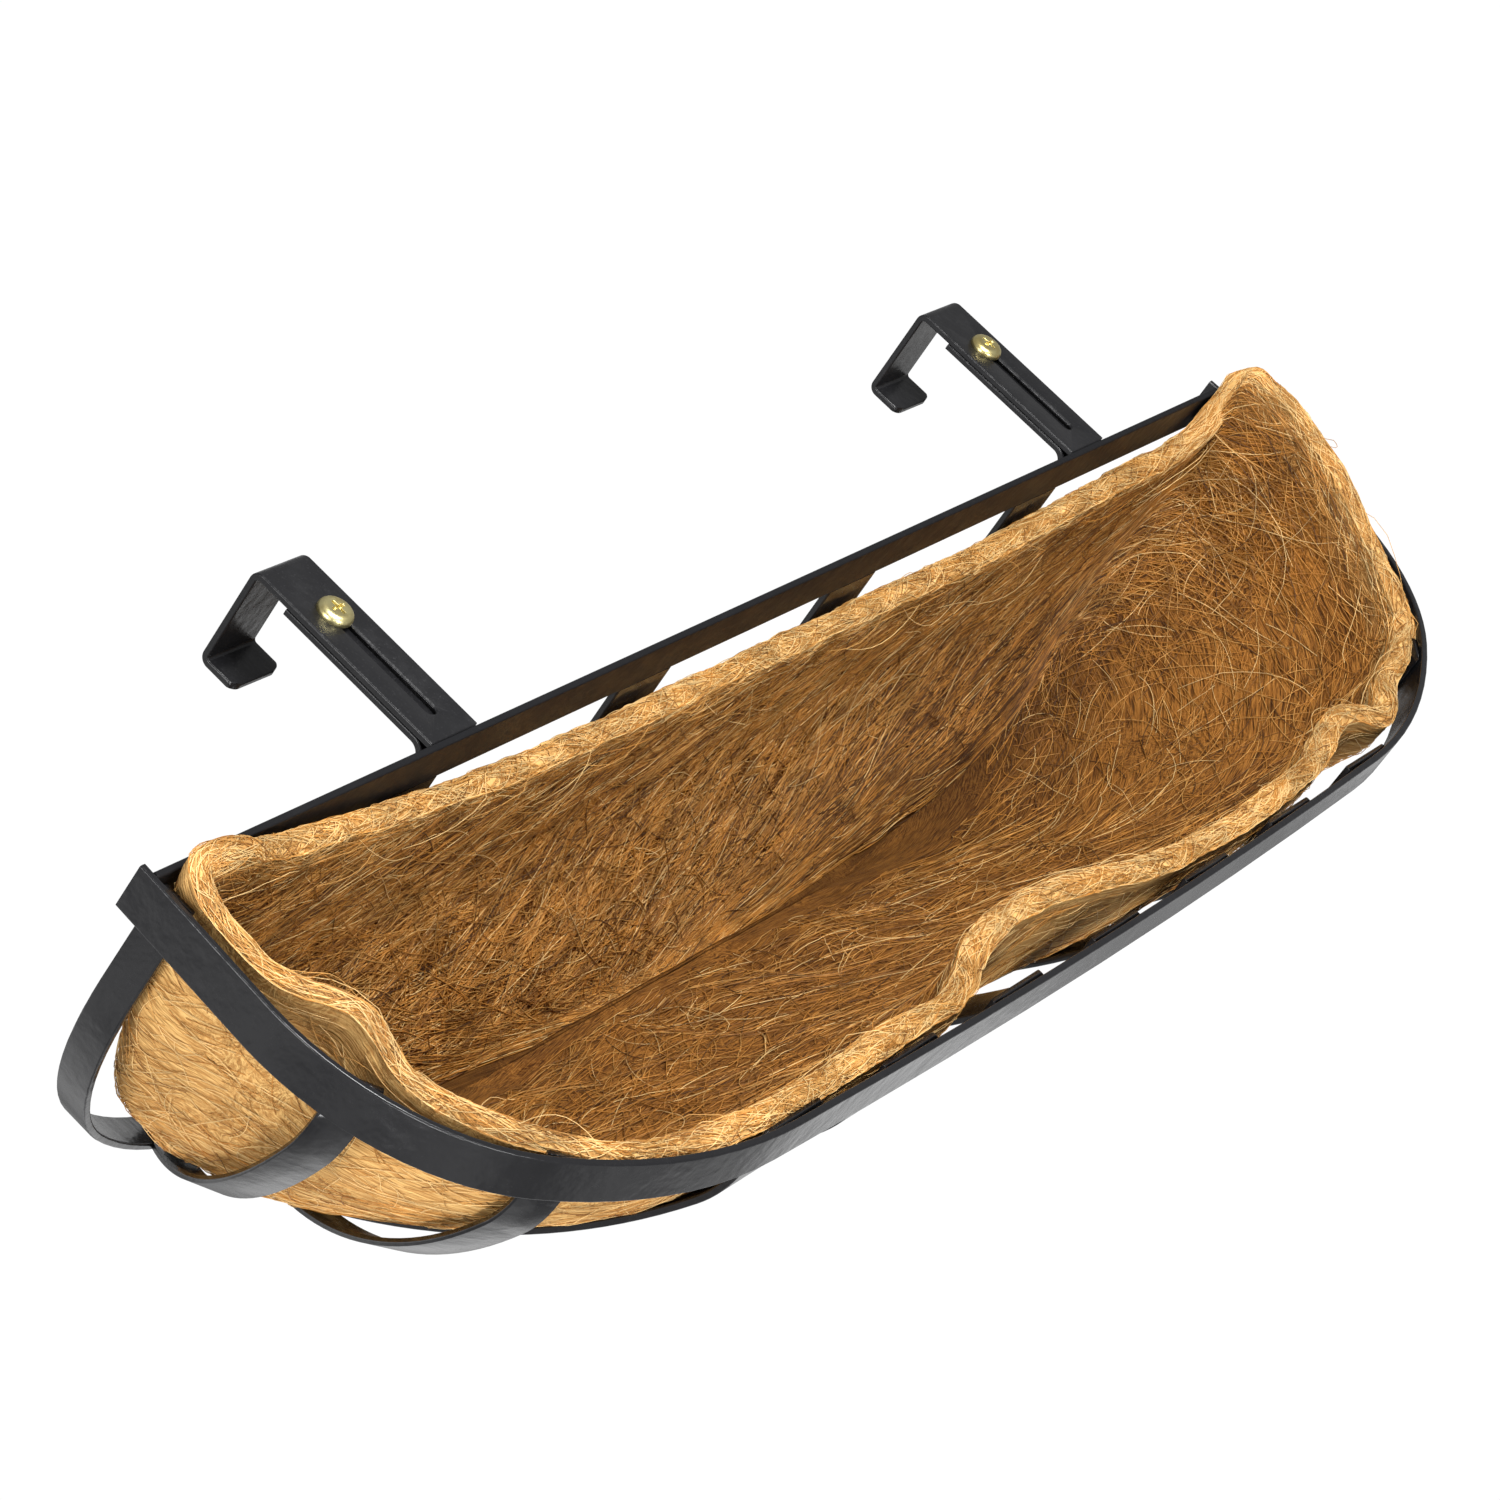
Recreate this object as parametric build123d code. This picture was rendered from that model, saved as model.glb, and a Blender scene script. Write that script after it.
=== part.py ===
from build123d import *
import math
import os

# Over-the-rail trough planter: a welded flat-bar frame, two adjustable rail
# hooks clamped by screws, and a moulded coir liner that lifts out.
# Millimetres. X runs along the rail, +Y points over the rail, +Z is up.
# The origin is on the rear face of the back bar, at the middle of the bar.

# ---- overall sizes ----
halfLength = 407.0      # middle to the outer face of a rim end
depth = 199.0           # rear face of the back bar to the front of the rim
drop = 200.0            # top edge of the rim to the underside of the ribs

# ---- flat bar stock ----
barHeight = 20.0        # back bar and rim, on edge
barThick = 3.0
ribWidth = 38.0
hoopWidth = 15.0        # end hoop and corner ribs
hookWidth = 30.0
hookThick = 3.0
barEdge = 0.8           # rounding of the stock's long edges

# ---- rim outline in plan ----
rimTail = 4.0           # how far the rim ends pass the back bar
flare = 4.0             # how far the sides lean outwards
sideLength = 64.0       # straight part of a side
frontHalf = 245.0       # half of the gently bowed front
frontBow = 4.0
cornerIn = 52.0         # the corner's middle point, from the straight side
cornerOut = 96.0

# ---- end hoop, seen from the front ----
hoopLowRadius = 260.0
hoopLowTurn = 38.0
hoopSideRadius = 115.0
weldStep = 2.0          # hoop and rib ends stop below the rim's top edge
weldGap = 0.02          # between faces that a weld joins

# ---- ribs ----
ribPitch = 81.0
ribCount = 7
ribStartRadius = 55.0
ribStartTurn = 27.0
ribToeRadius = 40.0
ribHeelRadius = 1.5     # inside of the bend at the bottom of the back
ribFlat = 6.0           # flat run in front of the hoop
ribToeRun = 10.0        # level run that the toe's bend takes
cornerRibs = ((40.0, 119.0), (120.0, 179.0))    # along the rim, along the hoop
cornerRibShort = 3.75   # a corner rib ends this far in front of the hoop's middle

# ---- rail hooks ----
hookSpacing = 500.0
hookShift = 25.0        # the pair sits a little to the right of the middle
railGap = 89.0          # bracket to hook with the hook pushed in
railReach = 51.0        # how far a hook slides out
railThick = 39.0        # bracket arm to the hook's lip
lipLength = 18.0
lipCorner = 5.0
bracketBend = 5.0       # inside of the bracket's bend
hookBend = 1.5          # inside of the hook's bends
slideGap = 0.5          # hook end to back bar

# ---- screws ----
screwRadius = 3.0
threadGap = 0.05        # all round the screw, in the tapped hole
slotWidth = 7.0
screwInset = 30.0       # screw axis to the outer face of a pushed-in hook
headRadius = 7.5
headHeight = 3.6
headEdge = 1.2          # upright edge under the head's dome
domeLean = 0.2          # the dome leaves that edge leaning in this much
crownRadius = 4.5       # flat top of the head
recessWidth = 1.6
recessLength = 7.0
recessDepth = 1.8
screwProud = 0.5        # screw end past the bracket's tapped arm
armPast = 11.0          # bracket arm past the screw axis

# ---- liner ----
linerThick = 9.0
linerGap = 1.5
linerEdge = 3.0         # front and side edges, below the rim's top edge
linerSteps = 8
linerCorner = 0.48      # fullness of the rounded ends, at the rim
linerCornerLow = 0.1    # and at the floor, where the corner ribs draw in
linerSideLow = 12.0     # straight part of a side at the floor
earHeight = 30.0        # back corners, above the rim's top edge
earWidth = 110.0
earReach = 60.0
backSag = 12.0          # middle of the back edge, below the rim's top edge

top = barHeight / 2
low = -barHeight / 2
bottom = top - drop
hoopY = -barThick - ribHeelRadius - hoopWidth / 2
screwY = hookThick + railGap + hookThick - screwInset
armTop = top - hookThick
armBottom = armTop - hookThick


def saveNode(shape, name):
    export_step(shape, "parts/" + name + ".step")


def flatBar(path, plane, profile):
    """Flat bar bent along a path drawn in the plane, which is its middle line."""
    line = plane * path
    section = Plane(origin=line @ 0, x_dir=plane.z_dir, z_dir=line % 0)
    return sweep(section * profile, path=line)


def uprightPlane(x, y, heading):
    """Vertical drawing plane through a point, its X axis along a heading."""
    across = Vector(heading.Y, -heading.X, 0)
    return Plane(origin=(x, y, 0), x_dir=heading, z_dir=across)


def seek(path, value, reading):
    """Point of a path where the reading, which rises along it, has a value."""
    near, far = 0.0, 1.0
    for _ in range(40):
        middle = (near + far) / 2
        if reading(path @ middle) < value:
            near = middle
        else:
            far = middle
    return path @ near


# ---- rim and back bar ----
def rimEdges():
    """Middle line of the rim's right half, from the front to the back."""
    half = barThick / 2
    radius = (frontHalf**2 + frontBow**2) / (2 * frontBow)
    turn = math.degrees(math.asin(frontHalf / radius))
    side = halfLength + flare - half
    front = JernArc((0, half - depth), (1, 0), radius, turn)
    middle = (side - cornerIn, -sideLength - cornerOut)
    near = TangentArc(front @ 1, middle, tangent=front % 1)
    far = TangentArc(near @ 1, (side, -sideLength), tangent=near % 1)
    back = Line(far @ 1, (halfLength - half, rimTail))
    return [front, near, far, back]


def makeRim():
    path = Wire(rimEdges())
    section = Plane(origin=path @ 0, x_dir=(0, 0, 1), z_dir=path % 0)
    right = sweep(section * RectangleRounded(barHeight, barThick, barEdge), path=path)
    return right + mirror(right, about=Plane.YZ)


def makeBackBar():
    bar = Box(2 * (halfLength - barThick), barThick, barHeight)
    bar = fillet(bar.edges().filter_by(Axis.X), barEdge)
    return Pos(0, -barThick / 2, 0) * bar


# ---- end hoop ----
def hoopPath():
    """Middle line of the hoop's right half: X along the rail, Y upwards."""
    level = bottom + 1.5 * barThick
    side = halfLength - 1.5 * barThick
    turn = math.radians(hoopLowTurn)
    curved = hoopLowRadius * math.sin(turn) + hoopSideRadius * (1 - math.sin(turn))
    flat = Line((0, level), (side - curved, level))
    lower = JernArc(flat @ 1, (1, 0), hoopLowRadius, hoopLowTurn)
    upper = JernArc(lower @ 1, lower % 1, hoopSideRadius, 90 - hoopLowTurn)
    rise = Line(upper @ 1, (side, top - weldStep))
    return Wire([flat, lower, upper, rise])


def makeHoop():
    plane = Plane(origin=(0, hoopY, 0), x_dir=(1, 0, 0), z_dir=(0, -1, 0))
    right = flatBar(hoopPath(), plane, RectangleRounded(hoopWidth, barThick, barEdge))
    return right + mirror(right, about=Plane.YZ)


# ---- ribs ----
def ribStart(reach, floor):
    """Rib from the rim's inner face to a point in front of the hoop."""
    half = barThick / 2
    start = Line((half, top - weldStep), (half, low))
    bend = JernArc(start @ 1, (0, -1), ribStartRadius, ribStartTurn)
    sweepBack = TangentArc(bend @ 1, (reach, floor), tangent=bend % 1)
    return [start, bend, sweepBack]


def ribWithToe(reach, floor):
    """The same rib, eased to level at its toe."""
    rise = 0.0
    for _ in range(8):
        lines = ribStart(reach - ribToeRun, floor + rise)
        heading = lines[-1] % 1
        slope = math.atan2(-heading.Y, heading.X)
        rise = ribToeRadius * (1 - math.cos(slope))
    toe = JernArc(lines[-1] @ 1, heading, ribToeRadius, math.degrees(slope))
    return lines + [toe]


def underHoop(x):
    """Height of a rib's middle line where it touches the hoop from below."""
    return seek(hoopPath(), max(x, 0), lambda p: p.X).Y - barThick - weldGap


def ribLines(x, full):
    """Rib at a place along the rim, under the hoop and up the back."""
    half = barThick / 2
    front = seek(rimEdges()[0], abs(x), lambda p: p.X)
    inside = -front.Y - half
    heel = inside - half
    bend = ribHeelRadius + half
    reach = inside + hoopY - hoopWidth / 2 - ribFlat
    lines = ribWithToe(reach, underHoop(abs(x) - ribWidth / 2))
    level = (lines[-1] @ 1).Y
    flat = Line(lines[-1] @ 1, (heel - bend, level))
    lines += [flat]
    if full:
        turn = JernArc(flat @ 1, (1, 0), bend, 90)
        lines += [turn, Line(turn @ 1, (heel, low))]
    return lines, -inside


def makeRib(x, full):
    lines, frontY = ribLines(x, full)
    plane = uprightPlane(x, frontY, Vector(0, 1, 0))
    return flatBar(Wire(lines), plane, RectangleRounded(ribWidth, barThick, barEdge))


def cornerRibLines(alongRim, alongHoop):
    """Corner rib on the right: its path, its start and its heading."""
    edges = rimEdges()
    corner = Wire([edges[1], edges[2]])
    share = 1 - alongRim / corner.length
    tangent = corner % share
    inward = Vector(-tangent.Y, tangent.X, 0)
    start = corner @ share + inward * (barThick / 2)
    goalX = halfLength - alongHoop
    goal = Vector(goalX, hoopY - cornerRibShort, 0)
    hoop = seek(hoopPath(), goalX, lambda p: p.X)
    heading = (goal - start).normalized()
    lines = ribStart((goal - start).length, hoop.Y)
    return lines, start, heading


def makeCornerRib(alongRim, alongHoop):
    lines, start, heading = cornerRibLines(alongRim, alongHoop)
    plane = uprightPlane(start.X, start.Y, heading)
    return flatBar(Wire(lines), plane, Rectangle(hoopWidth, barThick))


def fitted(bar, neighbours):
    """A bar's end cut to meet its neighbours."""
    for other in neighbours:
        bar = bar - other
    return bar.solids().sort_by(SortBy.VOLUME)[-1]


# ---- rail hooks ----
def makeBracket(x):
    """L-shaped bracket behind the bar, with its arm under the hook."""
    half = hookThick / 2
    bend = bracketBend + half
    leg = Line((half, low), (half, armBottom + half - bend))
    turn = JernArc(leg @ 1, (0, 1), bend, -90)
    arm = Line(turn @ 1, (screwY + armPast, armBottom + half))
    plane = uprightPlane(x, 0, Vector(0, 1, 0))
    profile = RectangleRounded(hookWidth, hookThick, barEdge)
    bar = flatBar(Wire([leg, turn, arm]), plane, profile)
    hole = Cylinder(screwRadius + threadGap, 4 * hookThick)
    return bar - Pos(x, screwY, armTop) * hole


def makeHook(x):
    """Slotted slider, bent down outside the rail and back under it."""
    half = hookThick / 2
    bend = hookBend + half
    outer = hookThick + railGap + half
    lipZ = armBottom - railThick - half
    arm = Line((slideGap, armTop + half), (outer - bend, armTop + half))
    knee = JernArc(arm @ 1, (1, 0), bend, -90)
    down = Line(knee @ 1, (outer, lipZ + bend))
    ankle = JernArc(down @ 1, (0, -1), bend, -90)
    lip = Line(ankle @ 1, (outer + half - lipLength, lipZ))
    plane = uprightPlane(x, 0, Vector(0, 1, 0))
    profile = RectangleRounded(hookWidth, hookThick, barEdge)
    bar = flatBar(Wire([arm, knee, down, ankle, lip]), plane, profile)
    lipEnd = outer + half - lipLength
    tip = Pos(0, lipLength) * RectangleRounded(hookWidth, 2 * lipLength, lipCorner)
    corners = extrude(Rectangle(2 * hookWidth, lipLength) - tip, hookThick, both=True)
    bar -= Pos(x, lipEnd, lipZ) * corners
    slotLength = railReach + slotWidth
    slot = SlotOverall(slotLength, slotWidth, rotation=90)
    slot = extrude(slot, 4 * hookThick, both=True)
    slotY = screwY - railReach / 2
    return bar - Pos(x, slotY, armTop) * slot


def makeScrew(x):
    """Pan-head screw with a cross recess, through the slot into the bracket."""
    length = 2 * hookThick + screwProud
    shank = Cylinder(screwRadius, length, align=(Align.CENTER, Align.CENTER, Align.MAX))
    base = Line((0, 0), (headRadius, 0))
    wall = Line(base @ 1, (headRadius, headEdge))
    dome = TangentArc(wall @ 1, (crownRadius, headHeight), tangent=(-domeLean, 1))
    crown = Line(dome @ 1, (0, headHeight))
    close = Line(crown @ 1, (0, 0))
    outline = Plane.XZ * make_face([base, wall, dome, crown, close])
    head = revolve(outline, Axis.Z)
    deep = Pos(0, 0, headHeight - recessDepth / 2)
    cross = deep * Box(recessLength, recessWidth, recessDepth)
    cross += deep * Box(recessWidth, recessLength, recessDepth)
    return Pos(x, screwY, top) * (head + shank - cross)


# ---- liner ----
def linerOutline(height, inset):
    """Half of the liner's plan outline at a height, as control points."""
    clear = barThick / 2 + linerGap
    level = min(height, top - weldStep) - clear
    lines, frontY = ribLines(0, False)
    reach = seek(Wire(lines), -level, lambda p: -p.Y).X
    side = seek(hoopPath(), level, lambda p: p.Y).X
    front = frontY + reach + clear + inset
    side = side - clear - inset
    back = -barThick - linerGap - inset
    share = min(height - bottom, drop) / drop
    straight = linerSideLow + (sideLength - linerSideLow) * share**2
    straight = max(back - straight, front + inset)
    fullness = linerCornerLow + (linerCorner - linerCornerLow) * share
    turn = side * frontHalf / halfLength
    return side, turn, back, straight, front, fullness


def linerSection(height, inset):
    side, turn, back, straight, front, fullness = linerOutline(height, inset)
    shoulder = front + frontBow
    pullX = turn + fullness * (side - turn)
    pullY = straight + fullness * (shoulder - straight)
    rear = Line((-side, back), (side, back))
    right = Line((side, back), (side, straight))
    corner = Bezier((side, straight), (side, pullY), (pullX, shoulder), (turn, shoulder))
    face = ThreePointArc((turn, shoulder), (0, front), (-turn, shoulder))
    other = Bezier((-turn, shoulder), (-pullX, shoulder), (-side, pullY), (-side, straight))
    left = Line((-side, straight), (-side, back))
    outline = make_face([rear, right, corner, face, other, left])
    return Pos(0, 0, height) * outline


def linerBody(inset, floor, ceiling):
    """Loft through level sections, closer together towards the floor."""
    heights = [ceiling, top - weldStep]
    for i in range(1, linerSteps + 1):
        share = math.sin(math.pi / 2 * i / linerSteps)
        heights += [low + (floor - low) * share]
    sections = [linerSection(h, inset) for h in heights]
    return loft(sections, ruled=True)


def makeLiner():
    floor = bottom + 2 * barThick + linerGap
    crown = top + earHeight
    body = linerBody(0, floor, crown)
    body -= linerBody(linerThick, floor + linerThick, crown + linerThick)
    edge = top - linerEdge
    side = halfLength
    ear = Polyline((-side, crown), (earWidth - side, edge))
    sag = ThreePointArc(ear @ 1, (0, top - backSag), (side - earWidth, edge))
    over = 2 * crown
    other = Polyline(sag @ 1, (side, crown), (side, over), (-side, over), (-side, crown))
    above = Plane.XZ * make_face([ear, sag, other])
    body -= extrude(above, 2 * linerThick, both=True)
    slope = Polyline((0, crown), (-earReach, edge), (-depth, edge), (-depth, over))
    close = Polyline(slope @ 1, (0, over), (0, crown))
    front = Plane.YZ * make_face([slope, close])
    body -= extrude(front, halfLength, both=True)
    return body.solids().sort_by(SortBy.VOLUME)[-1]


# ---- the assembly ----
os.makedirs("parts", exist_ok=True)
rim = makeRim()
hoop = makeHoop()
saveNode(rim, "front_rim")
saveNode(hoop, "end_hoop")
saveNode(makeBackBar(), "back_bar")
ribPlaces = [((i - (ribCount - 1) / 2) * ribPitch, i % 2 == 0) for i in range(ribCount)]
for i, (x, full) in enumerate(ribPlaces):
    saveNode(makeRib(x, full) - rim, "rib_" + str(i + 1))
for i, (alongRim, alongHoop) in enumerate(cornerRibs):
    right = fitted(makeCornerRib(alongRim, alongHoop), (rim, hoop))
    saveNode(right, "corner_rib_right_" + str(i + 1))
    saveNode(mirror(right, about=Plane.YZ), "corner_rib_left_" + str(i + 1))
for name, side in (("left", -1), ("right", 1)):
    x = hookShift + side * hookSpacing / 2
    saveNode(makeBracket(x), "bracket_" + name)
    saveNode(makeHook(x), "hook_" + name)
    saveNode(makeScrew(x), "screw_" + name)
saveNode(makeLiner(), "coir_liner")
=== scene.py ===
import math
import bmesh
import bpy
import numpy as np
from mathutils import Matrix, Vector, noise
from mathutils.bvhtree import BVHTree


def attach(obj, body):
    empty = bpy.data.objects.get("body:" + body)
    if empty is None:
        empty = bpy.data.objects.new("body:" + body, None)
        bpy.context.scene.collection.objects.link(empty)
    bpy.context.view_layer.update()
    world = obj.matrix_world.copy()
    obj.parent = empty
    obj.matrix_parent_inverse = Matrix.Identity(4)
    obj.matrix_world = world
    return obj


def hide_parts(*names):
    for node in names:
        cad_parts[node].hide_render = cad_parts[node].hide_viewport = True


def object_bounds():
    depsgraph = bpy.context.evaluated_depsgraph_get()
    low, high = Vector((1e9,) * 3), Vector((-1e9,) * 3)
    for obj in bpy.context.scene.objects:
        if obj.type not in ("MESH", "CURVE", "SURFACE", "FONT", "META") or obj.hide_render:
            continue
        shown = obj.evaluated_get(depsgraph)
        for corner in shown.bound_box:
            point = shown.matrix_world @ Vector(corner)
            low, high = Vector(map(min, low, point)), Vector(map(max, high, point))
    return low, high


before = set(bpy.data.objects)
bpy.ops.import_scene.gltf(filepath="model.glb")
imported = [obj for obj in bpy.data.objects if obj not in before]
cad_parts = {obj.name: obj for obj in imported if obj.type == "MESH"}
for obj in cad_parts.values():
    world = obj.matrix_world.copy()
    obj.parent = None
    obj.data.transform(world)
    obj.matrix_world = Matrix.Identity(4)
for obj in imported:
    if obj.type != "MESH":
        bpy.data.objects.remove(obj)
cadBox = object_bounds()
print("frame loaded")


# camera, floor and light
view = {
    "place": (-1.6540, -0.4890, 1.0271),
    "right": (0.51653, -0.69840, 0.49541),
    "up": (0.26017, 0.67922, 0.68627),
    "lens": 119.73,
}
studio = {
    "world": 0.30,
    "floorGlow": 0.80,        # as light on the object
    "floorMirrored": 0.75,    # as the coating reflects it
    "floorDrop": 0.50,
    # name, place, size, watts
    "lamps": (
        ("overheadLamp", (-0.4, -0.1, 1.7), 0.7, 54),
        ("frontLamp", (-0.9, -1.7, 1.0), 0.7, 20),
        ("endLamp", (-2.1, 0.3, 0.35), 0.7, 25),
        ("lowLamp", (-1.4, -1.1, -0.25), 0.5, 16),
    ),
}


def link(obj):
    bpy.context.scene.collection.objects.link(obj)
    return obj


def makeCamera():
    camera = link(bpy.data.objects.new("camera", bpy.data.cameras.new("camera")))
    right = Vector(view["right"]).normalized()
    up = Vector(view["up"])
    up = (up - right * up.dot(right)).normalized()
    turn = Matrix((right, up, right.cross(up))).transposed().to_4x4()
    camera.matrix_world = Matrix.Translation(view["place"]) @ turn
    camera.data.lens = view["lens"]
    camera.data.sensor_width = 36
    camera.data.clip_end = 50
    bpy.context.scene.camera = camera


# shader maths, so that sockets add and multiply in plain expressions
class Field:
    # A socket that takes + - and *.

    def __init__(self, shader, socket):
        self.shader = shader
        self.socket = socket

    def maths(self, operation, first, second=None):
        values = {0: first}
        if second is not None:
            values[1] = second
        return self.shader.add("ShaderNodeMath", {"operation": operation}, values)

    def __add__(self, other):
        return self.maths("ADD", self, other)

    __radd__ = __add__

    def __mul__(self, other):
        return self.maths("MULTIPLY", self, other)

    __rmul__ = __mul__

    def __sub__(self, other):
        return self.maths("SUBTRACT", self, other)

    def __rsub__(self, other):
        return self.maths("SUBTRACT", other, self)

    def over(self, low, high):
        # 0 below low, 1 above high, smooth between.
        values = {"Value": self, "From Min": low, "From Max": high}
        settings = {"interpolation_type": "SMOOTHSTEP"}
        return self.shader.add("ShaderNodeMapRange", settings, values)


class Shader:
    def __init__(self, name):
        self.material = bpy.data.materials.new(name)
        self.material.use_nodes = True
        self.tree = self.material.node_tree
        self.surface = self.tree.nodes["Principled BSDF"]

    def add(self, kind, settings=None, values=None, out=0):
        node = self.tree.nodes.new(kind)
        for name, value in (settings or {}).items():
            if name == "stops":
                ramp = node.color_ramp.elements
                while len(ramp) < len(value):
                    ramp.new(0.5)
                for stop, (place, colour) in zip(ramp, value):
                    stop.position = place
                    stop.color = (*colour, 1)
            else:
                setattr(node, name, value)
        for name, value in (values or {}).items():
            self.put(node.inputs[name], value)
        return Field(self, node.outputs[out])

    def put(self, socket, value):
        if isinstance(value, Field):
            self.tree.links.new(value.socket, socket)
        else:
            socket.default_value = value

    def place(self):
        return self.add("ShaderNodeTexCoord", out="Object")

    def spread(self):
        return self.add("ShaderNodeUVMap", {"uv_map": "spread"})

    def attribute(self, name):
        return self.add("ShaderNodeAttribute", {"attribute_name": name}, out="Fac")

    def stretched(self, vector, turn, scale):
        values = {"Vector": vector, "Rotation": (0, 0, math.radians(turn)), "Scale": scale}
        return self.add("ShaderNodeMapping", None, values)

    def noise(self, vector, scale, detail=2.0, rough=0.5, warp=0.0):
        values = {"Vector": vector, "Scale": scale, "Detail": detail, "Roughness": rough, "Distortion": warp}
        return self.add("ShaderNodeTexNoise", None, values)

    def mix(self, share, first, second, how="MIX"):
        settings = {"data_type": "RGBA", "blend_type": how}
        return self.add("ShaderNodeMix", settings, {0: share, 6: first, 7: second}, out=2)

    def bump(self, height, distance, strength=1.0, under=None):
        values = {"Height": height, "Distance": distance, "Strength": strength}
        if under is not None:
            values["Normal"] = under
        return self.add("ShaderNodeBump", None, values)

    def finish(self, **values):
        for name, value in values.items():
            self.put(self.surface.inputs[name.replace("_", " ")], value)
        return self.material


def dress(obj, material):
    obj.data.materials.clear()
    obj.data.materials.append(material)


# black powder coat on the frame
powderCoat = {
    "colour": (0.008, 0.008, 0.009, 1),
    "dust": (0.030, 0.030, 0.032, 1),
    "orangePeel": 0.0005,
    "lumps": 0.0007,
    # material, roughness, dust, shine, how the names of its nodes start
    "finishes": (
        ("glossPowderCoat", 0.24, 0.12, 0.34, ""),
        ("satinPowderCoat", 0.34, 0.5, 0.30, ("hook", "bracket")),
        ("mattPowderCoat", 0.45, 0.2, 0.12, "back_bar"),
    ),
}


def makePowderCoat(name, rough, dusty, shine):
    shader = Shader(name)
    place = shader.place()
    peel = shader.noise(place, 260, 2.0, 0.5)
    broad = shader.noise(place, 45, 2.0, 0.55)
    specks = shader.noise(place, 900, 2.0, 0.6).over(0.60, 0.72)
    dust = specks * dusty + shader.noise(place, 70, 4.0, 0.7).over(0.45, 0.8) * dusty * 0.5
    colour = shader.mix(dust, powderCoat["colour"], powderCoat["dust"])
    lumps = shader.noise(place, 120, 2.0, 0.5)
    fine = shader.bump(peel * 0.6 + broad, powderCoat["orangePeel"], 0.5)
    normal = shader.bump(lumps, powderCoat["lumps"], 0.6, fine)
    return shader.finish(
        Base_Color=colour,
        Roughness=rough + dust * 0.3 + (broad - 0.5) * 0.12,
        Normal=normal,
        Specular_IOR_Level=shine,
        Coat_Weight=shine * 0.25,
        Coat_Roughness=0.08,
    )


def soften(node):
    weld = node.modifiers.new("weld", "WELD")
    weld.merge_threshold = 0.000005
    node.data.shade_smooth()
    node.modifiers.new("flatFaces", "WEIGHTED_NORMAL").keep_sharp = True


def dressFrame():
    bars = {name: node for name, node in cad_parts.items() if not name.startswith(("screw", "coir"))}
    for title, rough, dusty, shine, starts in powderCoat["finishes"]:
        material = makePowderCoat(title, rough, dusty, shine)
        for name, node in bars.items():
            if name.startswith(starts):
                dress(node, material)
    for node in bars.values():
        soften(node)


# yellow zinc screws
zincPlate = {"colour": (0.80, 0.71, 0.36, 1), "tint": (0.66, 0.54, 0.22, 1), "roughness": 0.28}


def dressScrews():
    shader = Shader("yellowZinc")
    place = shader.place()
    cloud = shader.noise(place, 180, 3.0, 0.6).over(0.35, 0.7)
    grain = shader.noise(place, 1500, 2.0, 0.5)
    material = shader.finish(
        Base_Color=shader.mix(cloud, zincPlate["colour"], zincPlate["tint"]),
        Metallic=1.0,
        Roughness=zincPlate["roughness"] + grain * 0.15,
        Normal=shader.bump(grain, 0.00005, 0.4),
    )
    for side in ("left", "right"):
        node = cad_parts["screw_" + side]
        dress(node, material)
        soften(node)
        bevel = node.modifiers.new("softEdge", "BEVEL")
        bevel.width = 0.00025
        bevel.segments = 2
        bevel.limit_method = "ANGLE"
        bevel.angle_limit = math.radians(40)


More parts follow.
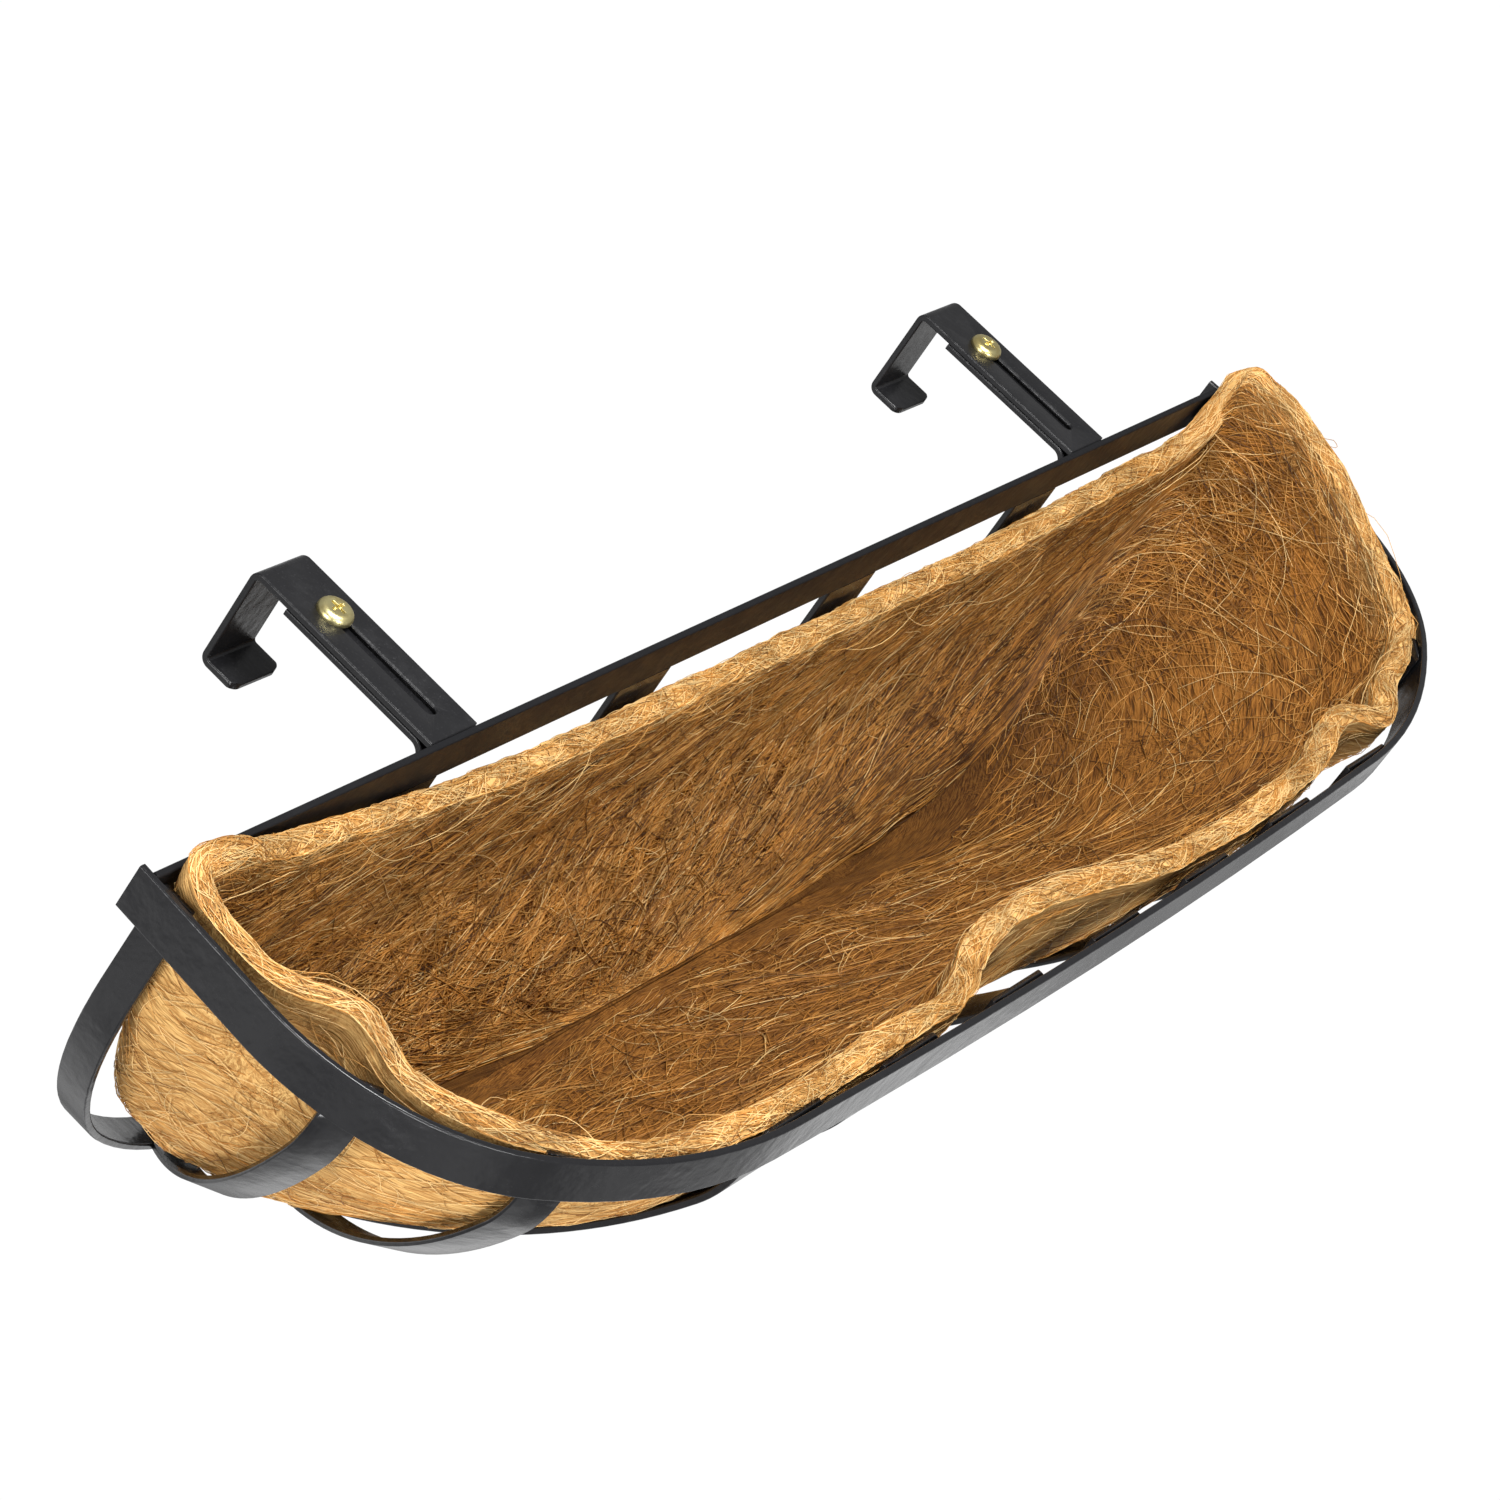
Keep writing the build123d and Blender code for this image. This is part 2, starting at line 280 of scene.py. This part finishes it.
# coir liner
liner = {
    "half": 4.0,          # half of the mat's thickness, mm
    "roll": 0.7,          # how much thicker the edge is rolled
    "rollDepth": 11.0,
    "rollSink": 2.0,
    "floor": -172.0,
    "columns": 560,
    "wallRows": 58,
    "floorRows": 9,
    "rollRows": 7,
    # how the mat's outside narrows: height, side, front, end of the side, fullness at the front and the side
    "profile": (
        (60, 399, -191, -64, 0.48, 0.48),
        (10, 399, -191, -64, 0.48, 0.48),
        (-10, 399, -191, -59, 0.50, 0.48),
        (-40, 399, -181, -46, 0.60, 0.42),
        (-70, 387, -163, -35, 0.78, 0.18),
        (-100, 368, -140, -27, 0.86, 0.04),
        (-130, 336, -114, -21, 0.86, 0.0),
        (-150, 300, -92, -18, 0.80, 0.05),
        (-165, 258, -76, -17, 0.70, 0.1),
        (-175, 220, -70, -17, 0.60, 0.1),
        (-183, 200, -66, -16, 0.50, 0.1),
    ),
    "rear": 4.8,          # from the bar's rear face to the mat
    "heel": 38.0,         # how far the foot of the back wall curves forwards
    "heelTop": -70.0,     # height where that curve starts, and its height
    "heelRun": 106.0,
    "round": 8.0,         # how widely the corners round off with depth, in columns
    "clear": 0.8,         # from the mat to the frame
    "heart": (0, -60, -50),
    "pullLimit": 30.0,
    # middle line of the rolled edge: along the back, round the right end, the front, the left end
    "mouth": (
        (-391, -9, 21), (-378, -11, 22), (-360, -11, 14), (-336, -11, 7), (-303, -11, 2),
        (-267, -11, -5), (-237, -11, -9), (-199, -11, -14), (-128, -11, -18), (-55, -11, -19),
        (22, -11, -20), (108, -11, -21), (192, -11, -22), (265, -11, -17), (330, -11, -12),
        (368, -11, -10), (384, -11, -1), (391, -10, 17), (394, -12, 33), (395, -24, 34),
        (396, -39, 33), (396, -54, 29), (394, -73, 25), (390, -96, 17), (383, -118, 11),
        (373, -136, 8), (358, -151, 6), (336, -159, 6), (312, -165, 6), (293, -175, 6),
        (281, -178, 6), (271, -171, 6), (257, -168, 6), (234, -173, 6), (209, -180, 6),
        (187, -181.5, 6), (160, -183.5, 6), (128, -184.5, 6), (95, -183.5, 6), (66, -182, 7),
        (38, -179, 8), (12, -174, 9), (-13, -170, 9), (-42, -167, 8), (-66, -169, 7),
        (-86, -174, 6), (-99, -180, 6), (-117, -184, 6), (-137, -184, 6), (-163, -183.5, 6),
        (-201, -184.5, 6), (-233, -184.5, 6), (-261, -182.5, 6), (-306, -175.5, 6), (-336, -161.5, 6),
        (-360, -142, 6), (-372, -129, 7), (-380, -116, 8), (-383, -104, 9), (-381, -92, 11),
        (-380, -80, 12), (-385, -70, 11), (-391, -62, 10), (-395, -53, 9), (-396, -40, 9),
        (-396, -26, 10), (-395, -15, 13), (-394, -9, 19),
    ),
    "dentDepth": 62.0,    # how far down the edge's own shape reaches
    "turn": 0.602,        # share of the half length where the front meets its corners
    "depths": 240,        # rows worked out down the middle of the mat
    "steep": 1.15,        # crowds those rows towards the edge
    # ends of the line where the floor closes, at each part of the outline
    "keel": (-150, 150, 165, 140, -140, -165, -150),
    "keelPlace": (-56.8, -57.2),
    "footStart": 0.62,    # how far down a wall starts to ease into the floor
    "footRun": 0.25,
    "footPasses": 60,
    # painted shade at the foot of the back wall, where it meets the floor: middle and spread in mm
    "patch": (270, -15, -135),
    "paintedShadeSize": (190, 62, 50),
    # broad, middle and small lumps: size, height, and how much more or less on the edge
    "lumps": ((38, 1.2, 0.0), (11, 0.6, -0.1), (4.5, 0.35, 0.1)),
}


def smoothLoop(points, count):
    # Points evenly along a smooth closed curve through the given ones.
    curve = bpy.data.curves.new("edgeLine", "CURVE")
    curve.dimensions = "3D"
    spline = curve.splines.new("BEZIER")
    spline.bezier_points.add(len(points) - 1)
    for knot, point in zip(spline.bezier_points, points):
        knot.co = point
        knot.handle_left_type = knot.handle_right_type = "AUTO"
    spline.use_cyclic_u = True
    spline.resolution_u = 16
    holder = bpy.data.objects.new("edgeLine", curve)
    mesh = bpy.data.meshes.new_from_object(holder)
    line = np.array([v.co for v in mesh.vertices])
    bpy.data.objects.remove(holder)
    bpy.data.meshes.remove(mesh)
    bpy.data.curves.remove(curve)
    line = np.vstack([line, line[:1]])
    run = np.concatenate([[0], np.cumsum(np.linalg.norm(np.diff(line, axis=0), axis=1))])
    want = np.linspace(0, run[-1], count + 1)
    return np.stack([np.interp(want, run, line[:, k]) for k in range(3)], 1), run[-1]


def eased(share):
    share = np.clip(share, 0, 1)
    return share**2 * (3 - 2 * share)


def outline(height, inset, stops):
    # Plan outline at some heights. Its parts: 0 rear, 1 right side, 2 right corner, 3 front,
    # 4 left corner, 5 left side.
    table = np.array(liner["profile"], float)[::-1]
    side, front, straight, full, sideFull = (
        np.interp(height, table[:, 0], table[:, k]) for k in range(1, 6))
    side = side - inset
    foot = eased((liner["heelTop"] - height) / liner["heelRun"])
    rear = -liner["rear"] - inset - liner["heel"] * foot
    front = np.minimum(front + inset, rear - 4)
    straight = np.maximum(np.minimum(straight, rear - 1), front)
    turn = side * liner["turn"]
    pullX = turn + full * (side - turn)
    pullY = straight + sideFull * (front - straight)
    part = np.minimum(np.floor(stops), 5).astype(int)
    t = stops - part
    b0, b1, b2, b3 = (1 - t)**3, 3 * t * (1 - t)**2, 3 * t * t * (1 - t), t**3
    x = np.choose(part, [
        side * (2 * t - 1), side, (b0 + b1) * side + b2 * pullX + b3 * turn,
        turn * (1 - 2 * t), -(b0 * turn + b1 * pullX + (b2 + b3) * side), -side])
    y = np.choose(part, [
        rear + 0 * t, rear + (straight - rear) * t, b0 * straight + b1 * pullY + (b2 + b3) * front,
        front + 0 * t, (b0 + b1) * front + b2 * pullY + b3 * straight, straight + (rear - straight) * t])
    return x, y


def stopsAlong(mouth):
    # Where on the plan outline each point of the edge belongs.
    fine = np.linspace(0, 6, 2401)[:-1]
    x, y = outline(10 + 0 * fine, liner["half"], fine)
    stops = []
    last = 0.0
    for px, py, _ in mouth:
        near = np.hypot(x - px, y - py)
        ahead = (fine - last) % 6
        near[ahead > 1.2] = 1e9
        last = fine[int(near.argmin())] if stops else fine[int(np.hypot(x - px, y - py).argmin())]
        stops.append(last)
    stops = np.unwrap(np.array(stops) * math.pi / 3) * 3 / math.pi
    kernel = np.hanning(15)
    kernel /= kernel.sum()
    drift = stops - np.linspace(stops[0], stops[0] + 6, len(stops))
    wrapped = np.concatenate([drift[-8:-1], drift, drift[1:8]])
    return np.convolve(wrapped, kernel, "valid") + np.linspace(stops[0], stops[0] + 6, len(stops))


def linerRows():
    # Depth share and side of each row: up the outside, over the roll, down the inside.
    walls, rolls, floors = liner["wallRows"], liner["rollRows"], liner["floorRows"]
    down = np.linspace(0, 1, walls)
    rows = [(1, i / floors, "out") for i in range(floors)]
    rows += [(s, 1, "out") for s in down[::-1]]
    rows += [(0, k / (rolls + 1), "roll") for k in range(1, rolls + 1)]
    rows += [(s, 1, "in") for s in down]
    rows += [(1, 1 - (i + 1) / floors, "in") for i in range(floors)]
    return rows


def roundCorners(middle, depths):
    # Softens the plan of each row, more with depth.
    wide = 0.4 + liner["round"] * eased((depths - 0.02) / 0.3)
    count = liner["columns"]
    waves = np.fft.rfftfreq(count)
    keep = np.exp(-2 * (math.pi * wide[:, None] * waves)**2)
    plan = np.fft.rfft(middle[:, :-1, :2], axis=1) * keep[..., None]
    middle[:, :-1, :2] = np.fft.irfft(plan, n=count, axis=1)
    middle[:, -1] = middle[:, 0]
    return middle


def frameTree():
    points, faces = [], []
    for name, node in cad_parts.items():
        if name.startswith(("rib", "corner", "end", "front", "back")):
            first = len(points)
            points += [node.matrix_world @ v.co for v in node.data.vertices]
            faces += [[first + i for i in p.vertices] for p in node.data.polygons]
    return BVHTree.FromPolygons(points, faces)


def moved(grid, axis, k):
    if axis == 1:
        return np.roll(grid, k, 1)
    return grid[np.clip(np.arange(len(grid)) + k, 0, len(grid) - 1)]


def spreadOut(grid, axis, reach, wide):
    # Largest value within reach, then a soft blur.
    grid = np.max([moved(grid, axis, k) for k in range(-reach, reach + 1)], axis=0)
    soft = 0 * grid
    total = 0.0
    for k in range(-3 * wide, 3 * wide + 1):
        weight = math.exp(-(k / wide)**2 / 2)
        total += weight
        soft += weight * moved(grid, axis, k)
    return soft / total


def holdInside(middle):
    # Pulls the mat in wherever a bar of the frame would pass through it.
    heart = np.array(liner["heart"], float)
    tree = frameTree()
    core = heart + (middle - heart) * (0.6, 0.25, 0.3)
    ray = middle - core
    far = np.linalg.norm(ray, axis=2)
    ray /= far[..., None]
    room = liner["half"] + liner["clear"]
    pull = np.zeros(far.shape)
    for i in range(0, far.shape[0], 2):
        for c in range(far.shape[1] - 1):
            hit = tree.ray_cast(core[i, c] * 0.001, ray[i, c], (far[i, c] + room + 1) * 0.001)
            if hit[0] is not None:
                pull[i:i + 2, c] = max(0, far[i, c] + room - hit[3] * 1000)
    pull = spreadOut(spreadOut(pull[:, :-1], 0, 8, 4), 1, 2, 1)
    pull = np.concatenate([pull, pull[:, :1]], 1)
    print("liner held inside by up to", round(float(pull.max()), 1), "mm")
    return middle - ray * np.minimum(pull, liner["pullLimit"])[..., None]


def roundFoot(place, rows):
    # Eases the walls into the floor, on both faces.
    half = liner["floorRows"] + liner["wallRows"]
    for block in (place[:half], place[half + liner["rollRows"]:][::-1]):
        down = np.array([rows[i][0] for i in range(half)])
        ease = eased((down - liner["footStart"]) / liner["footRun"])[1:-1, None, None] * 0.5
        for _ in range(liner["footPasses"]):
            block[1:-1] += ease * ((block[:-2] + block[2:]) / 2 - block[1:-1])
    return place


def linerSurface():
    # Positions and outward normals of the mat's skin, rows by columns.
    count = liner["columns"]
    mouth, length = smoothLoop(liner["mouth"], count)
    stops = stopsAlong(mouth) % 6
    half = liner["half"]
    topX, topY = outline(mouth[:, 2], half, stops)
    shift = mouth[:, :2] - np.stack([topX, topY], 1)
    depths = np.linspace(0, 1, liner["depths"])
    middle = np.zeros((len(depths), count + 1, 3))
    for i, s in enumerate(depths):
        ease = 1 - (1 - s)**liner["steep"]
        z = mouth[:, 2] + (liner["floor"] - mouth[:, 2]) * ease
        below = mouth[:, 2] - z
        fade = np.exp(-(below / liner["dentDepth"])**2)
        x, y = outline(z, half, stops)
        middle[i, :, 0] = x + shift[:, 0] * fade
        middle[i, :, 1] = y + shift[:, 1] * fade
        middle[i, :, 2] = z
    # even spacing down each column
    steps = np.linalg.norm(np.diff(middle, axis=0), axis=2)
    run = np.concatenate([np.zeros((1, count + 1)), np.cumsum(steps, 0)])
    even = np.zeros_like(middle)
    for c in range(count + 1):
        want = np.linspace(0, run[-1, c], len(depths))
        for k in range(3):
            even[:, c, k] = np.interp(want, run[:, c], middle[:, c, k])
    middle = holdInside(roundCorners(even, depths))
    ring = np.concatenate([middle[:, -2:-1], middle, middle[:, 1:2]], 1)
    along = ring[:, 2:] - ring[:, :-2]
    down = np.gradient(middle, axis=0)
    normal = np.cross(along, down)
    normal /= np.linalg.norm(normal, axis=2, keepdims=True) + 1e-9
    rows = linerRows()
    place = np.zeros((len(rows), count + 1, 3))
    facing = np.zeros_like(place)
    depth = run[-1]
    top = middle[0]
    rise = -down[0] / (np.linalg.norm(down[0], axis=1, keepdims=True) + 1e-9)
    keelX = np.interp(stops, range(7), liner["keel"])
    keelY = np.where(stops < 1, *liner["keelPlace"])
    keel = np.stack([keelX, keelY, 0 * keelX + liner["floor"]], 1)
    for i, (s, share, face) in enumerate(rows):
        at = s * (len(depths) - 1)
        low = int(min(at, len(depths) - 2))
        blend = at - low
        base = middle[low] * (1 - blend) + middle[low + 1] * blend
        out = normal[low] * (1 - blend) + normal[low + 1] * blend
        thick = half + liner["roll"] * np.exp(-(s * depth / liner["rollDepth"])**2)[:, None]
        if share < 1 and face != "roll":
            base = keel + (base - keel) * share
            out = np.array([0, 0, -1.0]) + 0 * base
        if face == "roll":
            angle = math.pi * share
            out = out * math.cos(angle) + rise * math.sin(angle)
            base = top - rise * liner["rollSink"]
        elif face == "in":
            out = -out
        place[i] = base + out * thick
        facing[i] = out
    return roundFoot(place, rows), facing, rows, length, depth


def roughen(place, facing):
    # Lumps of matted fibre, larger on the rolled edge.
    rows = linerRows()
    for i, (s, share, face) in enumerate(rows):
        near = share == 1 or face == "roll"
        edge = math.exp(-(s * 15)**2) if near else 0.0
        for c in range(place.shape[1] - 1):
            p = Vector(place[i, c])
            lump = sum(noise.noise(p / size) * (high + more * edge) for size, high, more in liner["lumps"])
            place[i, c] += facing[i, c] * lump
        place[i, -1] = place[i, 0]
    return place


def paintedShadeAt(place):
    # How much a place lies in the painted shade low on the back wall, at its foot.
    away = (place - np.array(liner["patch"])) / liner["paintedShadeSize"]
    return np.exp(-(away**2).sum(-1))


def makeLiner():
    place, facing, rows, length, depth = linerSurface()
    place = roughen(place, facing)
    columns, count = liner["columns"], len(rows)
    bm = bmesh.new()
    bmesh.ops.create_grid(bm, x_segments=columns, y_segments=count - 1, size=0.5)
    spread = bm.loops.layers.uv.new("spread")
    edgeLayer = bm.verts.layers.float.new("edge")
    paintedShadeLayer = bm.verts.layers.float.new("patch")
    outLayer = bm.verts.layers.float.new("outside")
    patch = paintedShadeAt(place)
    where = {}
    for v in bm.verts:
        c, r = round((v.co.x + 0.5) * columns), round((v.co.y + 0.5) * (count - 1))
        s, share, face = rows[r]
        deep = s * depth[c] + (1 - share if face != "roll" else 0) * 25
        sign = -1 if face == "out" else 1
        v.co = place[r, c] * 0.001
        where[v] = (c / columns * length * 0.001, sign * deep * 0.001)
        # edge and outside mark the rolled edge and the outer face, which are painted paler as painted light
        v[edgeLayer] = 1.0 if face == "roll" else math.exp(-(deep / 12)**2)
        # painted shade on the inside, low on the back wall
        v[paintedShadeLayer] = patch[r, c] if face == "in" else 0.0
        v[outLayer] = 1.0 if face == "out" else 0.0
    for f in bm.faces:
        f.smooth = True
        for loop in f.loops:
            loop[spread].uv = where[loop.vert]
    bmesh.ops.remove_doubles(bm, verts=bm.verts, dist=0.00001)
    bmesh.ops.holes_fill(bm, edges=[e for e in bm.edges if e.is_boundary], sides=0)
    bmesh.ops.recalc_face_normals(bm, faces=bm.faces)
    mesh = bpy.data.meshes.new("coirMat")
    bm.to_mesh(mesh)
    bm.free()
    mat = link(bpy.data.objects.new("coirMat", mesh))
    dress(mat, makeCoir())
    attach(mat, "liner")
    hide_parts("coir_liner")
    print("liner mat", len(mesh.polygons), "faces")
    return place, facing, rows, length, depth


# straw is a painted highlight on strand tops and dark is painted shade; amber and pale are painted light on
# the outside and rolled edge
coir = {
    "straw": (0.42, 0.185, 0.038, 1),
    "gold": (0.26, 0.098, 0.016, 1),
    "brown": (0.14, 0.048, 0.008, 1),
    "dark": (0.035, 0.014, 0.004, 1),
    "amber": (0.46, 0.23, 0.066, 1),
    "pale": (0.76, 0.48, 0.18, 1),
}


def makeCoir():
    shader = Shader("coirFibreMat")
    spread = shader.spread()
    place = shader.place()
    edge = shader.attribute("edge")
    patch = shader.attribute("patch")
    outside = shader.attribute("outside")
    wander = shader.noise(place, 14, 3.0, 0.6)
    drift = shader.add("ShaderNodeTexNoise", None, {"Vector": place, "Scale": 11.0, "Detail": 2.0}, "Color")
    swirl = shader.add("ShaderNodeVectorMath", {"operation": "SCALE"}, {0: drift, "Scale": 0.016})
    bent = shader.add("ShaderNodeVectorMath", {"operation": "ADD"}, {0: spread, 1: swirl})
    # strands lying three ways
    first = shader.noise(shader.stretched(bent, -22, (55, 900, 1)), 1.0, 2.0, 0.6, 0.6)
    second = shader.noise(shader.stretched(bent, 28, (70, 1000, 1)), 1.0, 2.0, 0.6, 0.6)
    third = shader.noise(shader.stretched(bent, 78, (90, 800, 1)), 1.0, 2.0, 0.6, 0.6)
    curls = shader.noise(place, 130, 3.0, 0.62, 5.0)
    matted = shader.noise(place, 17, 2.0, 0.5).over(0.44, 0.60) * 0.6
    fine = (first * 0.5 + second * 0.28 + third * 0.22) * (1 - matted) + curls * matted
    # raised strand tops are painted paler as a painted highlight, and the gaps between strands are painted
    # dark as painted shade
    strandHighlight = fine.over(0.44, 0.62)
    gapShade = fine.over(0.50, 0.40)
    tone = wander.over(0.35, 0.68)
    base = shader.mix(tone, coir["brown"], coir["gold"])
    base = shader.mix(strandHighlight * 0.75, base, coir["straw"])
    base = shader.mix(gapShade * 0.75, base, coir["dark"])
    # painted shade darkens the coir at the foot of the back wall
    base = shader.mix(patch * 0.85, base, coir["dark"])
    # the outside and rolled edge are painted paler, a painted light for the stronger light they catch
    pale = shader.mix(fine.over(0.42, 0.60), coir["amber"], coir["pale"])
    base = shader.mix(edge * 0.85, base, pale)
    base = shader.mix(outside * 0.85 * (1 - edge), base, pale)
    height = fine + wander * 0.5
    normal = shader.bump(height, 0.004, 0.9)
    return shader.finish(Base_Color=base, Roughness=0.9, Normal=normal, Specular_IOR_Level=0.15)


# loose and matted fibres
fibres = {
    "seed": 21,
    "steps": 8,
    "colours": (
        ("palestFibre", (0.80, 0.53, 0.22, 1)),
        ("strawFibre", (0.60, 0.31, 0.082, 1)),
        ("goldFibre", (0.48, 0.205, 0.036, 1)),
        ("brownFibre", (0.27, 0.11, 0.022, 1)),
        ("darkFibre", (0.10, 0.041, 0.012, 1)),
    ),
    # shares of those colours; the shaded shares are painted shade, for fibres at the foot of the back wall
    # the paler outer shares are painted light, for fibres on the lit outside and rolled edge
    "mixes": {"inner": (1, 3, 6, 4, 1), "outer": (5, 5, 3, 1, 0), "shaded": (0, 1, 2, 5, 6)},
    # piece, strands, which face, depth from and to, length, radius and lift in mm, colours
    "pieces": (
        ("fibresBackWall", 3500, "in", (6, 190), (35, 110), 0.19, 0.4, "inner"),
        ("fibresBackWallFine", 3500, "in", (6, 200), (25, 80), 0.15, 0.5, "inner"),
        ("fibresInside", 3500, "in", (4, 225), (20, 80), 0.19, 0.5, "inner"),
        ("fibresInsideFine", 3500, "in", (4, 225), (15, 60), 0.15, 0.6, "inner"),
        ("fibresEdge", 3500, "in", (-17, 9), (12, 40), 0.20, 0.3, "outer"),
        ("fibresEdgeFine", 3500, "in", (-18, 7), (8, 26), 0.15, 0.5, "outer"),
        ("fibresOutside", 3500, "out", (6, 190), (12, 50), 0.17, 0.4, "outer"),
        ("fibresOutsideFine", 3500, "out", (6, 190), (10, 35), 0.14, 0.6, "outer"),
        ("looseFibres", 130, "in", (-10, 26), (25, 75), 0.15, 3.6, "outer"),
    ),
}


def makeFibreMaterial(name, colour):
    shader = Shader(name)
    tint = shader.noise(shader.place(), 60, 2.0, 0.6).over(0.3, 0.7)
    dark = tuple(c * 0.62 for c in colour[:3]) + (1,)
    return shader.finish(Base_Color=shader.mix(tint, dark, colour), Roughness=0.6, Specular_IOR_Level=0.3)


def skinPoint(skin, across, deep, face):
    # Point and normal on the mat; across runs round the mouth and deep down the wall, in mm.
    place, facing, rows, length, depth = skin
    columns = liner["columns"]
    c = (across / length * columns) % columns
    c0 = np.floor(c).astype(int)
    ct = (c - c0)[:, None]
    walls, rolls, floors = liner["wallRows"], liner["rollRows"], liner["floorRows"]
    full = depth[c0]
    beyond = np.clip((deep - full) / 30, 0, 0.85) * floors
    share = np.clip(deep / full, 0, 1) * (walls - 1)
    over = np.clip(-deep / 18, 0, 1) * (rolls + 1)
    inner = floors + walls + rolls + share - over + beyond
    outer = floors + walls - 1 - share + over - beyond
    r = np.clip(inner if face == "in" else outer, 0, len(rows) - 1.001)
    r0 = np.floor(r).astype(int)
    rt = (r - r0)[:, None]

    def pick(grid):
        near = grid[r0, c0] * (1 - ct) + grid[r0, c0 + 1] * ct
        far = grid[r0 + 1, c0] * (1 - ct) + grid[r0 + 1, c0 + 1] * ct
        return near * (1 - rt) + far * rt

    return pick(place), pick(facing)


def makeFibres(skin, piece, materials, rng):
    name, count, face, (near, far), (short, long), radius, lift, colours = piece
    place, facing, rows, length, depth = skin
    columns = liner["columns"]
    steps = fibres["steps"]
    backEnd = np.argmax(place[-1 - liner["floorRows"], :, 0]) / columns * length
    across = rng.uniform(0, length, count)
    if name.startswith("fibresBackWall"):
        across = rng.uniform(10, backEnd - 10, count)
    deep = rng.uniform(near, far, count)
    reach = rng.uniform(short, long, count)
    lean = rng.normal(0, 0.55, count)
    if name.startswith("fibresBackWall"):
        lean = -0.38 + rng.normal(0, 0.22, count)
    elif name == "fibresEdge":
        lean = rng.normal(0, 0.4, count)
    flip = rng.random(count) < 0.5
    lean = np.where(flip, lean + math.pi, lean)
    curl = rng.normal(0, 0.9, count) / 60
    wave = rng.uniform(0, 6.28, count)
    bow = rng.uniform(0.4, 1.6, count)
    lines = []
    for k in range(steps):
        t = k / (steps - 1)
        point, out = skinPoint(skin, across, deep, face)
        arch = lift * (0.25 + np.sin(t * math.pi) * bow)
        lines.append(point + out * (arch + radius)[:, None])
        stride = reach / (steps - 1)
        across = across + np.cos(lean) * stride
        deep = np.clip(deep + np.sin(lean) * stride, near, far + 8)
        lean = lean + curl * stride + np.sin(wave + t * 7) * 0.05
    lines = np.stack(lines, 1) * 0.001
    curve = bpy.data.curves.new(name, "CURVE")
    curve.dimensions = "3D"
    curve.bevel_depth = radius * 0.001
    curve.bevel_resolution = 0
    curve.use_fill_caps = False
    for material in materials:
        curve.materials.append(material)
    bags = {key: np.repeat(np.arange(len(shares)), shares) for key, shares in fibres["mixes"].items()}
    # fibres in the painted shade at the foot of the back wall take the darker shaded shares
    shaded = paintedShadeAt(lines[:, steps // 2] * 1000) > rng.uniform(0.15, 0.9, count)
    for line, inShade in zip(lines, shaded):
        bag = bags["shaded" if inShade and face == "in" else colours]
        spline = curve.splines.new("POLY")
        spline.points.add(steps - 1)
        flat = np.concatenate([line, np.ones((steps, 1))], 1)
        spline.points.foreach_set("co", flat.ravel())
        spline.material_index = int(bag[rng.integers(len(bag))])
    holder = bpy.data.objects.new(name, curve)
    mesh = bpy.data.meshes.new_from_object(holder)
    bpy.data.objects.remove(holder)
    bpy.data.curves.remove(curve)
    mesh.name = name
    obj = link(bpy.data.objects.new(name, mesh))
    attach(obj, "liner")
    print(name, len(mesh.polygons), "faces")


def makeAllFibres(skin):
    rng = np.random.default_rng(fibres["seed"])
    materials = [makeFibreMaterial(name, colour) for name, colour in fibres["colours"]]
    for piece in fibres["pieces"]:
        makeFibres(skin, piece, materials, rng)


# room
def makeStudio():
    bm = bmesh.new()
    bmesh.ops.create_grid(bm, x_segments=1, y_segments=1, size=6)
    mesh = bpy.data.meshes.new("floor")
    bm.to_mesh(mesh)
    bm.free()
    floor = link(bpy.data.objects.new("floor", mesh))
    floor.location.z = cadBox[0].z - studio["floorDrop"]
    shader = Shader("paleFloor")
    seen = shader.add("ShaderNodeLightPath", out="Is Camera Ray")
    mirrored = shader.add("ShaderNodeLightPath", out="Is Glossy Ray")
    patchy = 0.3 + shader.noise(shader.place(), 1.6, 2.0, 0.5).over(0.35, 0.65) * 1.2
    glow = studio["floorGlow"]
    dress(floor, shader.finish(
        Base_Color=(0, 0, 0, 1), Roughness=1.0, Specular_IOR_Level=0.0,
        Emission_Color=glow + seen * (1.02 - glow) + mirrored * (patchy * studio["floorMirrored"] - glow),
        Emission_Strength=1.0))
    world = bpy.data.worlds.new("studio")
    bpy.context.scene.world = world
    world.use_nodes = True
    world.node_tree.nodes["Background"].inputs["Color"].default_value = (1, 1, 1, 1)
    world.node_tree.nodes["Background"].inputs["Strength"].default_value = studio["world"]
    for name, place, size, watts in studio["lamps"]:
        lamp = link(bpy.data.objects.new(name, bpy.data.lights.new(name, "AREA")))
        lamp.data.size = size
        lamp.data.energy = watts
        lamp.location = place
        aim = (Vector((0, -0.1, -0.05)) - lamp.location).to_track_quat("-Z", "Y")
        lamp.rotation_euler = aim.to_euler()
    bpy.context.scene.view_settings.view_transform = "Standard"


makeCamera()
makeStudio()
print("camera and studio ready")
dressFrame()
dressScrews()
print("frame dressed")
skin = makeLiner()
makeAllFibres(skin)
